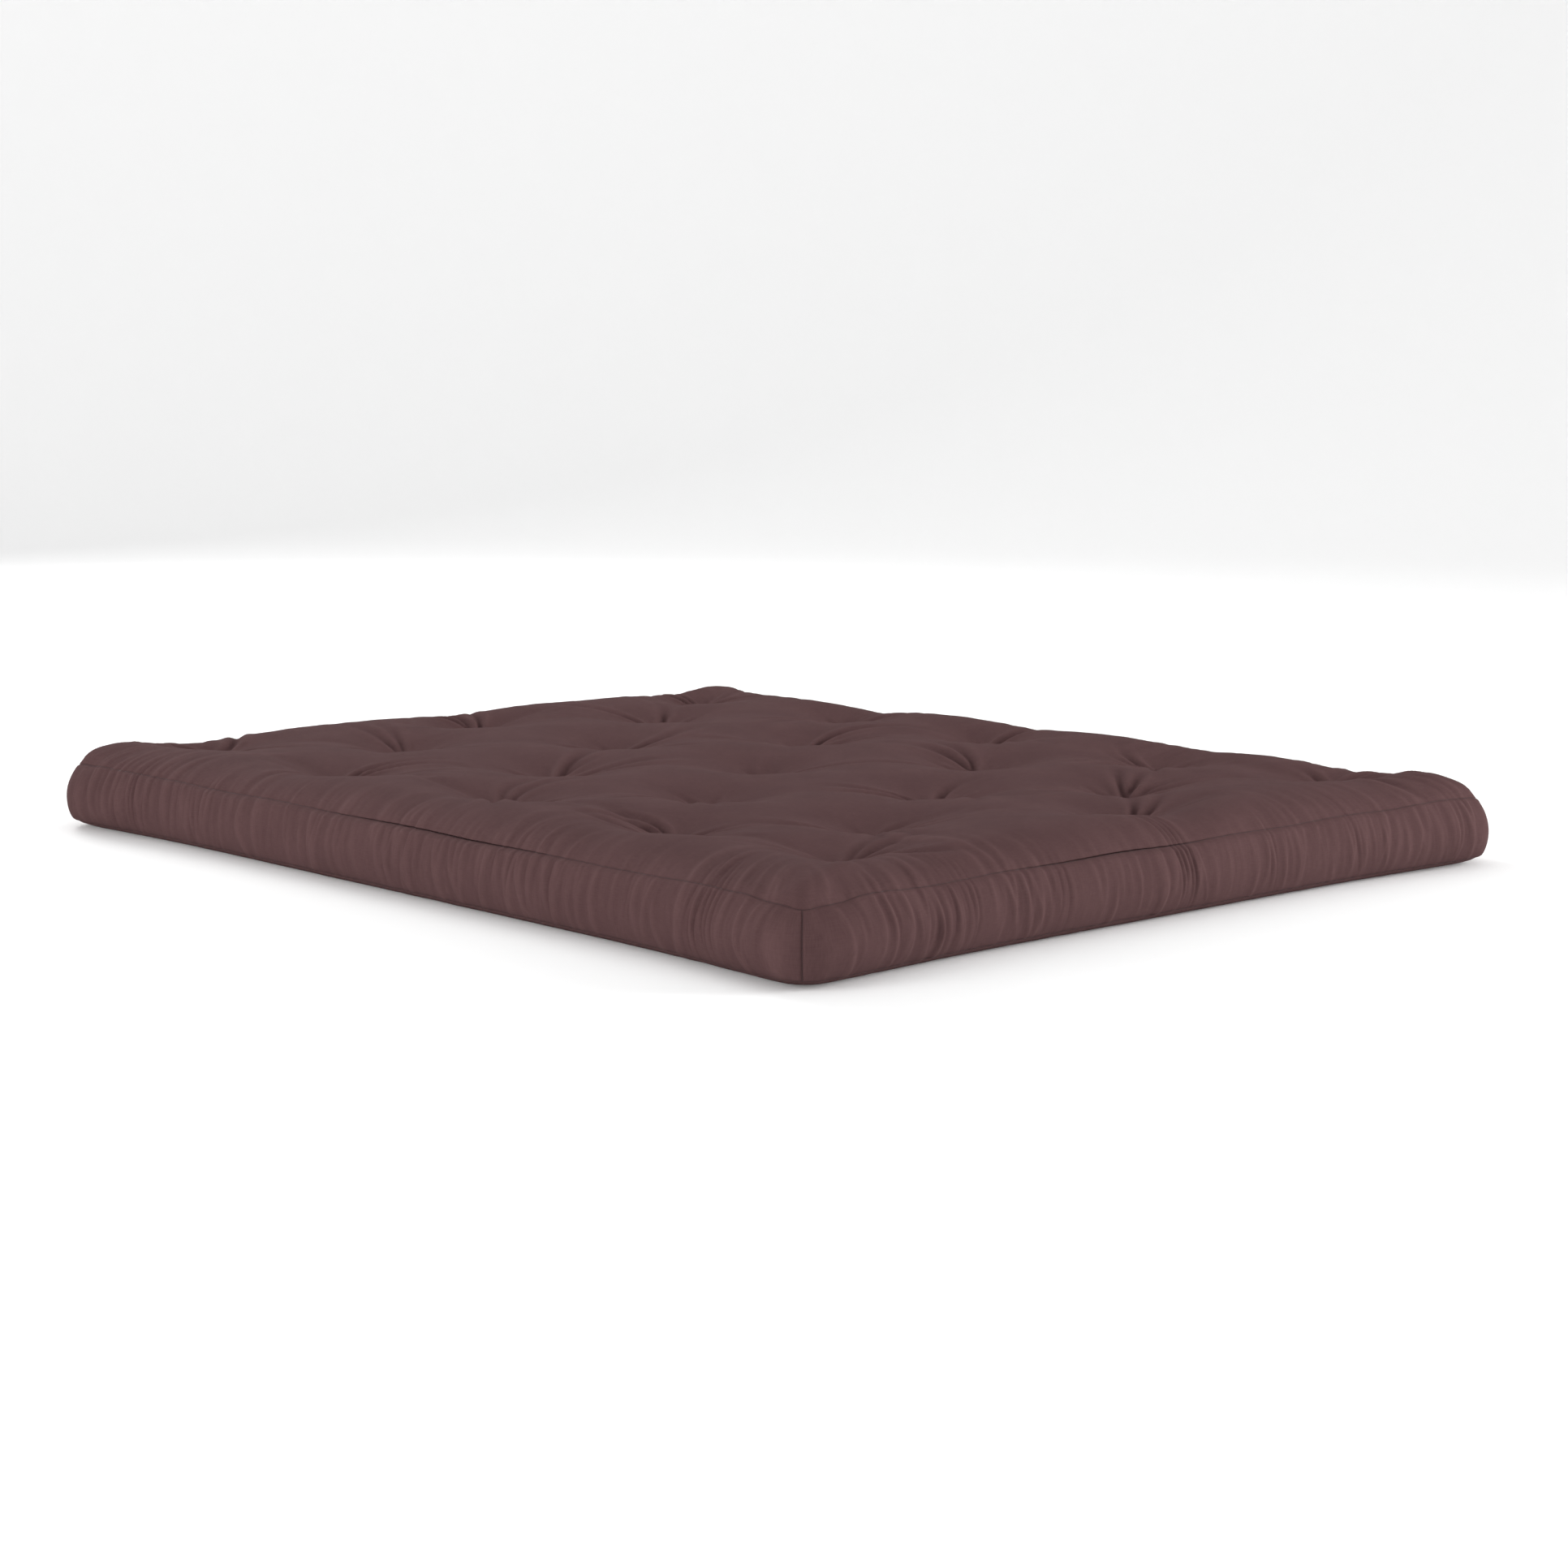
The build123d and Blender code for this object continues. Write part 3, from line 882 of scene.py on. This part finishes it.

# --- Box edge -------------------------------------------------------------------
# Four strips of the same drill, about 12 cm wide as cut, sewn to both panels and to each other at
# the corners. The front and rear strips stay with their halves.
STRIP_COLUMN = 0.0026
STRIP_ROWS = 36
STRIP_CROWD = 0.11
STRIPS = {
    "front": (0, 2 * HALF_WIDTH),
    "right": (2 * HALF_WIDTH, 2 * HALF_WIDTH + 2 * HALF_LENGTH),
    "rear": (2 * HALF_WIDTH + 2 * HALF_LENGTH, 4 * HALF_WIDTH + 2 * HALF_LENGTH),
    "left": (4 * HALF_WIDTH + 2 * HALF_LENGTH, OUTLINE),
}
STRIP_HEIGHT = UPPER_SEAM_Z - LOWER_SEAM_Z


def outline_at(place):
    """The place on the flat outline at a distance round it."""
    turns = np.cumsum([0, 2 * HALF_WIDTH, 2 * HALF_LENGTH, 2 * HALF_WIDTH, 2 * HALF_LENGTH])
    x = np.interp(place, turns, [-HALF_WIDTH, HALF_WIDTH, HALF_WIDTH, -HALF_WIDTH, -HALF_WIDTH])
    y = np.interp(place, turns, [-HALF_LENGTH, -HALF_LENGTH, HALF_LENGTH, HALF_LENGTH, -HALF_LENGTH])
    return x, y


def edge_surface(place, down):
    """Points of the finished box edge, and how far its gathers stand out there."""
    x, y = outline_at(place)
    points = band_form(x, y, down) + edge_moved(place, down)
    level = np.stack([*outward(x, y), np.zeros(len(x))], -1)
    corner = from_corner(x, y)
    rise = gathered(place, -down * STRIP_HEIGHT, corner)
    loose = np.sin(math.pi * np.clip(down, 0, 1)) * np.clip(corner / 0.08, 0, 1)
    points = points + level * (0.0022 * wandering(place, 0.13, 71) * loose)[:, None]
    from_seam = np.minimum(down, 1 - down) * STRIP_HEIGHT
    groove = GROOVE * (np.exp(-((from_seam / GROOVE_WIDTH) ** 2)) + 0.9 * np.exp(-((corner / 0.003) ** 2)))
    return points + level * (rise - np.minimum(groove, 1.1 * GROOVE))[:, None], rise


for name, (first, last) in STRIPS.items():
    columns = round((last - first) / STRIP_COLUMN)
    rows = np.linspace(0, 1, STRIP_ROWS + 1)
    rows = rows - STRIP_CROWD * np.sin(2 * math.pi * rows)
    place, down = np.meshgrid(np.linspace(first, last, columns + 1), rows, indexing="ij")
    points, rise = edge_surface(place.ravel(), down.ravel())
    cut = np.stack([place.ravel() - first, down.ravel() * STRIP_HEIGHT * 1.08], -1)
    number = np.arange(place.size).reshape(place.shape)
    faces = np.stack([number[:-1, 1:], number[1:, 1:], number[1:, :-1], number[:-1, :-1]], -1).reshape(-1, 4).tolist()
    rim = np.concatenate([number[:-1, -1], number[-1, :0:-1], number[:0:-1, 0], number[0, :-1]])
    x, y = outline_at(place.ravel()[rim])
    norm_x, norm_y = outward(x, y)
    inside = points[rim] - np.stack([norm_x * TURN_IN, norm_y * TURN_IN, np.zeros(len(rim))], -1)
    start = len(points)
    for n in range(len(rim)):
        after = (n + 1) % len(rim)
        faces.append([int(rim[after]), int(rim[n]), start + n, start + after])
    points = np.concatenate([points, inside])
    cut = np.concatenate([cut, cut[rim]])
    # Painted light and shade for the cotton's colour: lighter on gather ridges, darker in their valleys.
    painted_fold_shading = np.clip(rise / 0.0016, -1, 1)
    painted_fold_shading = np.concatenate([painted_fold_shading, painted_fold_shading[rim]])
    strip = new_piece(f"edge_strip_{name}", points, faces, COTTON, cut, painted_fold_shading)
    if name in ("front", "rear"):
        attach(strip, "seat" if name == "front" else "back")
        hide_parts(f"cover_band_{name}")
    else:
        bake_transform(strip)
        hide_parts(f"cover_band_{name}_seat", f"cover_band_{name}_back")
    last - first + 0.03

# --- Seams ----------------------------------------------------------------------
# The panels, strips and corners are lock-stitched with mauve polyester thread, about 8 stitches to
# the inch, sunk in the seams. The two long seams run right round.
STITCH = 0.0032
STITCH_LENGTH = 0.0025
THREAD_RADIUS = 0.00038
STITCH_SUNK = 0.0008
SEAM_STEP = 0.003

thread_finish = Finish("seam_thread", 0.6, specular=0.3)
thread_place = thread_finish.node("ShaderNodeTexCoord", {}, {}, output=3)
thread_tone = thread_finish.noise(thread_place, 800.0)
thread_finish.feed("Base Color", thread_finish.mix(thread_tone, (0.030, 0.015, 0.016, 1), (0.060, 0.032, 0.033, 1)))
thread_finish.bump(thread_tone, 0.2, 0.0002)


def stitching_tree():
    """Lays stitches end to end along a line, each turned along it."""
    tree = bpy.data.node_groups.new("lock_stitches", "GeometryNodeTree")
    for name, kind in (("Line", "NodeSocketGeometry"), ("Pitch", "NodeSocketFloat"), ("Length", "NodeSocketFloat"),
                       ("Thread radius", "NodeSocketFloat"), ("Thread", "NodeSocketMaterial")):
        tree.interface.new_socket(name, in_out="INPUT", socket_type=kind)
    tree.interface.new_socket("Stitches", in_out="OUTPUT", socket_type="NodeSocketGeometry")
    made = {}

    def node(kind, **settings):
        new = tree.nodes.new(kind)
        for key, value in settings.items():
            setattr(new, key, value)
        return new

    given, out = node("NodeGroupInput"), node("NodeGroupOutput")
    to_curve = node("GeometryNodeMeshToCurve")
    spaced = node("GeometryNodeResampleCurve", mode="LENGTH")
    stitch = node("GeometryNodeMeshCylinder", fill_type="TRIANGLE_FAN")
    stitch.inputs["Vertices"].default_value = 6
    along = node("GeometryNodeInputTangent")
    turned = node("FunctionNodeAlignRotationToVector", axis="Z")
    placed = node("GeometryNodeInstanceOnPoints")
    solid = node("GeometryNodeRealizeInstances")
    finished = node("GeometryNodeSetMaterial")
    link = tree.links.new
    link(given.outputs["Line"], to_curve.inputs["Mesh"])
    link(to_curve.outputs["Curve"], spaced.inputs["Curve"])
    link(given.outputs["Pitch"], spaced.inputs["Length"])
    link(given.outputs["Length"], stitch.inputs["Depth"])
    link(given.outputs["Thread radius"], stitch.inputs["Radius"])
    link(along.outputs["Tangent"], turned.inputs["Vector"])
    link(spaced.outputs["Curve"], placed.inputs["Points"])
    link(stitch.outputs["Mesh"], placed.inputs["Instance"])
    link(turned.outputs["Rotation"], placed.inputs["Rotation"])
    link(placed.outputs["Instances"], solid.inputs["Geometry"])
    link(solid.outputs["Geometry"], finished.inputs["Geometry"])
    link(given.outputs["Thread"], finished.inputs["Material"])
    link(finished.outputs["Geometry"], out.inputs["Stitches"])
    return tree


STITCHING = stitching_tree()


def sewn(name, line, closed):
    """The stitches of one seam as a plain mesh."""
    edges = [(n, n + 1) for n in range(len(line) - 1)] + ([(len(line) - 1, 0)] if closed else [])
    mesh = bpy.data.meshes.new(f"{name}_line")
    mesh.from_pydata(line.tolist(), edges, [])
    carrier = bpy.data.objects.new(f"{name}_line", mesh)
    scene.collection.objects.link(carrier)
    modifier = carrier.modifiers.new("stitches", "NODES")
    modifier.node_group = STITCHING
    values = {"Pitch": STITCH, "Length": STITCH_LENGTH, "Thread radius": THREAD_RADIUS, "Thread": thread_finish.material}
    for item in STITCHING.interface.items_tree:
        if item.name in values:
            modifier[item.identifier] = values[item.name]
    carrier.update_tag()
    bpy.context.view_layer.update()
    evaluated = carrier.evaluated_get(bpy.context.evaluated_depsgraph_get())
    stitches = bpy.data.meshes.new_from_object(evaluated)
    stitches.name = name
    carrier.modifiers.clear()
    bpy.data.objects.remove(carrier)
    seam = bpy.data.objects.new(name, stitches)
    scene.collection.objects.link(seam)
    return seam


around = np.arange(0, OUTLINE, SEAM_STEP)
around_x, around_y = outline_at(around)
out_x, out_y = outward(around_x, around_y)
for name, down in (("upper_seam", 0.0), ("lower_seam", 1.0)):
    line, _ = edge_surface(around, np.full(len(around), down))
    line = line + np.stack([out_x, out_y, np.zeros(len(around))], -1) * (GROOVE - STITCH_SUNK)
    seam = sewn(name, line, closed=True)
    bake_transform(seam)
    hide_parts(f"{name}_seat", f"{name}_back")

for name, place, body in (
        ("front_left", 0.0, "seat"), ("front_right", 2 * HALF_WIDTH, "seat"),
        ("rear_right", 2 * HALF_WIDTH + 2 * HALF_LENGTH, "back"), ("rear_left", 4 * HALF_WIDTH + 2 * HALF_LENGTH, "back")):
    down = np.linspace(0.02, 0.98, 40)
    line, _ = edge_surface(np.full(40, place), down)
    corner_x, corner_y = outward(*outline_at(np.full(40, place)))
    line = line + np.stack([corner_x, corner_y, np.zeros(40)], -1) * (GROOVE - STITCH_SUNK)
    seam = sewn(f"corner_stitches_{name}", line, closed=False)
    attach(seam, body)
    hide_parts(f"corner_seam_{name}")

# --- Filling --------------------------------------------------------------------
# Three garnetted cotton batts, a slab of foam, and three more batts, laid up in the cover and drawn
# together at every tuft. Each layer is one sheet over the whole bed.
LAYER_CLEAR = 0.0040
LAYER_SPREAD = 0.012
LAYER_GAP = 0.0004
LAYER_COLUMNS, LAYER_ROWS = 100, 126
LAYER_SIDE = 5

batting = Finish("cotton_batting", 0.97, specular=0.1)
batting_place = batting.node("ShaderNodeTexCoord", {}, {}, output=3)
fleck = batting.noise(batting_place, 160.0, 6.0, 0.7)
tuft_of_lint = batting.noise(batting_place, 26.0, 4.0, 0.6)
batting.feed("Base Color", batting.mix(batting.node("ShaderNodeClamp", {}, {0: fleck * 0.7 + tuft_of_lint * 0.6 - 0.15}),
                                       (0.60, 0.55, 0.46, 1), (0.86, 0.83, 0.76, 1)))
batting.bump(fleck * 0.6 + tuft_of_lint, 0.7, 0.003)

foam = Finish("foam", 0.9, specular=0.2)
foam_place = foam.node("ShaderNodeTexCoord", {}, {}, output=3)
cells = foam.node("ShaderNodeTexVoronoi", {}, {"Vector": foam_place, "Scale": 700.0})
cloudy = foam.noise(foam_place, 12.0)
foam.feed("Base Color", foam.mix(foam.node("ShaderNodeClamp", {}, {0: cells * 0.9 + (cloudy - 0.5) * 0.5}),
                                 (0.55, 0.50, 0.36, 1), (0.85, 0.80, 0.62, 1)))
foam.bump(cells, 0.5, 0.001)

across, along = np.meshgrid(np.linspace(-1, 1, LAYER_COLUMNS + 1), np.linspace(-1, 1, LAYER_ROWS + 1), indexing="ij")
across, along = across.ravel() * HALF_WIDTH, along.ravel() * HALF_LENGTH
layer_edge = from_edge(across, along)
ceiling = np.full(len(across), 1.0)
for step_x in (-LAYER_SPREAD, 0, LAYER_SPREAD):
    for step_y in (-LAYER_SPREAD, 0, LAYER_SPREAD):
        near_x = np.clip(across + step_x, -HALF_WIDTH, HALF_WIDTH)
        near_y = np.clip(along + step_y, -HALF_LENGTH, HALF_LENGTH)
        near_z = (top_form(near_x, near_y) + top_moved(near_x, near_y))[:, 2]
        ceiling = np.minimum(ceiling, near_z + tuft_creases(near_x, near_y).clip(None, 0) - LAYER_CLEAR)
ceiling -= 0.012 * np.exp(-((to_tuft(across, along) / 0.055) ** 2))
floor_z = LAYER_GAP + 0.0012 + KNOT_HOLLOW * np.exp(-((to_tuft(across, along) / 0.036) ** 4))
fill_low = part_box("cotton_batt_lower_1_seat")[0].z
fill_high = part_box("cotton_batt_upper_1_seat")[1].z
number = np.arange(len(across)).reshape(LAYER_COLUMNS + 1, LAYER_ROWS + 1)
layer_rim = np.concatenate([number[:-1, 0], number[-1, :-1], number[:0:-1, -1], number[0, :0:-1]])
layer_faces = np.stack([number[:-1, :-1], number[1:, :-1], number[1:, 1:], number[:-1, 1:]], -1).reshape(-1, 4)


def layer_place(share, inset):
    """Points of the filling's whole plan at a share of its height, drawn in from the cover."""
    down = np.clip((UPPER_SEAM_Z - (fill_low + share * (fill_high - fill_low))) / STRIP_HEIGHT, 0, 1)
    grow = EDGE_BULGE * np.sin(math.pi * down) ** 0.8 + HEM_OUT * down - inset
    if share < 0.25:
        grow -= 0.010
    if share < 0.10:
        grow -= 0.022
    if down == 0:
        grow -= 0.006
    stretch = 1 + grow / HALF_WIDTH, 1 + grow / HALF_LENGTH
    plan_x, plan_y = panel_plan(across, along, extra=0.025)
    z = floor_z + share * (ceiling - floor_z)
    return np.stack([plan_x * stretch[0], plan_y * stretch[1], z], -1)


for name, finish, slot, fill in (
        ("cotton_batt_lower_1", batting, "cotton_batting", 0.7), ("cotton_batt_lower_2", batting, "cotton_batting", 0.7),
        ("cotton_batt_lower_3", batting, "cotton_batting", 0.7), ("foam_core", foam, "foam", 0.9),
        ("cotton_batt_upper_3", batting, "cotton_batting", 0.7), ("cotton_batt_upper_2", batting, "cotton_batting", 0.7),
        ("cotton_batt_upper_1", batting, "cotton_batting", 0.7)):
    low_z, high_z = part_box(f"{name}_seat")[0].z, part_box(f"{name}_seat")[1].z
    low_share = (low_z - fill_low) / (fill_high - fill_low)
    high_share = (high_z - fill_low) / (fill_high - fill_low)
    middle = (low_share + high_share) / 2
    bottom, top = layer_place(low_share, 0.013), layer_place(high_share, 0.013)
    bottom[:, :2] = top[:, :2] = layer_place(middle, 0.013)[:, :2]
    bottom[:, 2] += LAYER_GAP / 2
    top[:, 2] -= LAYER_GAP / 2
    pinch = 0.28 * np.exp(-layer_edge / 0.006)[:, None] * (top - bottom)
    bottom, top = bottom + pinch, top - pinch
    points = [bottom, top]
    rings = [layer_rim]
    out_x, out_y = outward(across[layer_rim], along[layer_rim])
    for step in range(1, LAYER_SIDE):
        share = step / LAYER_SIDE
        ring = bottom[layer_rim] * (1 - share) + top[layer_rim] * share
        swell = 0.25 * (high_z - low_z) * math.sin(math.pi * share) * (0.4 if slot == "foam" else 1.0)
        ring[:, 0] += out_x * swell * 0.6
        ring[:, 1] += out_y * swell * 0.6
        rings.append(2 * len(across) + (step - 1) * len(layer_rim) + np.arange(len(layer_rim)))
        points.append(ring)
    rings.append(len(across) + layer_rim)
    faces = layer_faces[:, ::-1].tolist() + (layer_faces + len(across)).tolist()
    for a, b in zip(rings[:-1], rings[1:]):
        faces += np.stack([a, np.roll(a, -1), np.roll(b, -1), b], -1).tolist()
    layer = new_piece(name, np.concatenate(points), faces, finish.material)
    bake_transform(layer)
    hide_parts(f"{name}_seat", f"{name}_back")

# --- Tufting ties ---------------------------------------------------------------
# Waxed two-ply twine, sewn right through the stack with a needle: a short stitch across the bottom
# of the dimple above, and a pulled knot in the hollow below. No buttons.
PLY_RADIUS = 0.00062
PLY_OFFSET = 0.00060
PLY_PITCH = 0.0060
PLY_SIDES = 6

twine_finish = Finish("tufting_twine", 0.55, specular=0.4)
twine_place = twine_finish.node("ShaderNodeTexCoord", {}, {}, output=3)
twine_tone = twine_finish.noise(twine_place, 900.0, 3.0)
twine_finish.feed("Base Color", twine_finish.mix(twine_tone, (0.042, 0.020, 0.021, 1), (0.095, 0.050, 0.050, 1)))
twine_finish.bump(twine_tone, 0.4, 0.0003)


def tube(path, radius, sides, closed=False):
    """A round tube's points and faces along a path, its ends closed."""
    after, before = np.roll(path, -1, 0), np.roll(path, 1, 0)
    if not closed:
        after[-1], before[0] = path[-1], path[0]
    heading = after - before
    heading = heading / np.linalg.norm(heading, axis=1, keepdims=True)
    side = np.cross(heading[0], (0.3, 0.9, 0.2))
    points = []
    for here, ahead in zip(path, heading):
        side = side - ahead * (side @ ahead)
        side = side / np.linalg.norm(side)
        other = np.cross(ahead, side)
        turn = np.arange(sides) * 2 * math.pi / sides
        points.append(here + radius * (np.cos(turn)[:, None] * side + np.sin(turn)[:, None] * other))
    faces = []
    count = len(path)
    for n in range(count if closed else count - 1):
        for k in range(sides):
            a, b = n * sides + k, n * sides + (k + 1) % sides
            c, d = (n + 1) % count * sides + (k + 1) % sides, (n + 1) % count * sides + k
            faces.append((a, b, c, d))
    if not closed:
        faces.append(tuple(range(sides))[::-1])
        faces.append(tuple((count - 1) * sides + k for k in range(sides)))
    return np.concatenate(points), faces


KNOT_TURNS = np.linspace(0, 2 * math.pi, 40, endpoint=False)
KNOT_PATH = np.stack([
    np.sin(KNOT_TURNS) + 2 * np.sin(2 * KNOT_TURNS), np.cos(KNOT_TURNS) - 2 * np.cos(2 * KNOT_TURNS),
    -1.4 * np.sin(3 * KNOT_TURNS)], -1)
for node, (tuft_x, tuft_y, tie_low, tie_high) in TUFTS.items():
    rng = np.random.default_rng(1000 + sum(ord(letter) * (n + 1) for n, letter in enumerate(node)))
    floor_here = (top_form(np.array([tuft_x]), np.array([tuft_y])) + top_moved(np.array([tuft_x]), np.array([tuft_y])))[0]
    top_z = floor_here[2] + 0.0012
    turn = rng.uniform(0, math.pi)
    knot_z = tie_low + 0.0042
    rise = np.linspace(knot_z, top_z - 0.003, 60)
    arch = np.linspace(0, 1, 15)
    points, faces = [], []
    for ply in (0, math.pi):
        angle = ply + 2 * math.pi * (rise - knot_z) / PLY_PITCH
        stem = np.stack([tuft_x + PLY_OFFSET * np.cos(angle), tuft_y + PLY_OFFSET * np.sin(angle), rise], -1)
        run = (arch - 0.5) * 0.0100
        lift = 0.0004 + 0.0014 * np.sin(math.pi * arch) ** 0.6 - 0.003 * (np.abs(2 * arch - 1) > 0.95)
        spin = ply + 2 * math.pi * run / PLY_PITCH
        bar = np.stack([
            tuft_x + run * math.cos(turn) - PLY_OFFSET * np.cos(spin) * math.sin(turn),
            tuft_y + run * math.sin(turn) + PLY_OFFSET * np.cos(spin) * math.cos(turn),
            top_z - 0.0012 + lift + PLY_OFFSET * np.sin(spin)], -1)
        for path in (stem, bar):
            more, more_faces = tube(path, PLY_RADIUS, PLY_SIDES)
            start = sum(len(part) for part in points)
            points.append(more)
            faces += [tuple(start + n for n in face) for face in more_faces]
    knot = KNOT_PATH * 0.0011
    spun = np.stack([knot[:, 0] * math.cos(turn) - knot[:, 1] * math.sin(turn),
                     knot[:, 0] * math.sin(turn) + knot[:, 1] * math.cos(turn), knot[:, 2]], -1)
    more, more_faces = tube(spun + (tuft_x, tuft_y, knot_z), 0.0009, PLY_SIDES, closed=True)
    start = sum(len(part) for part in points)
    points.append(more)
    faces += [tuple(start + n for n in face) for face in more_faces]
    tie = new_piece(node.replace("tuft_tie", "twine_tie"), np.concatenate(points), faces, twine_finish.material)
    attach(tie, "seat" if tuft_y < FOLD_Y else "back")
    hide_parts(node)
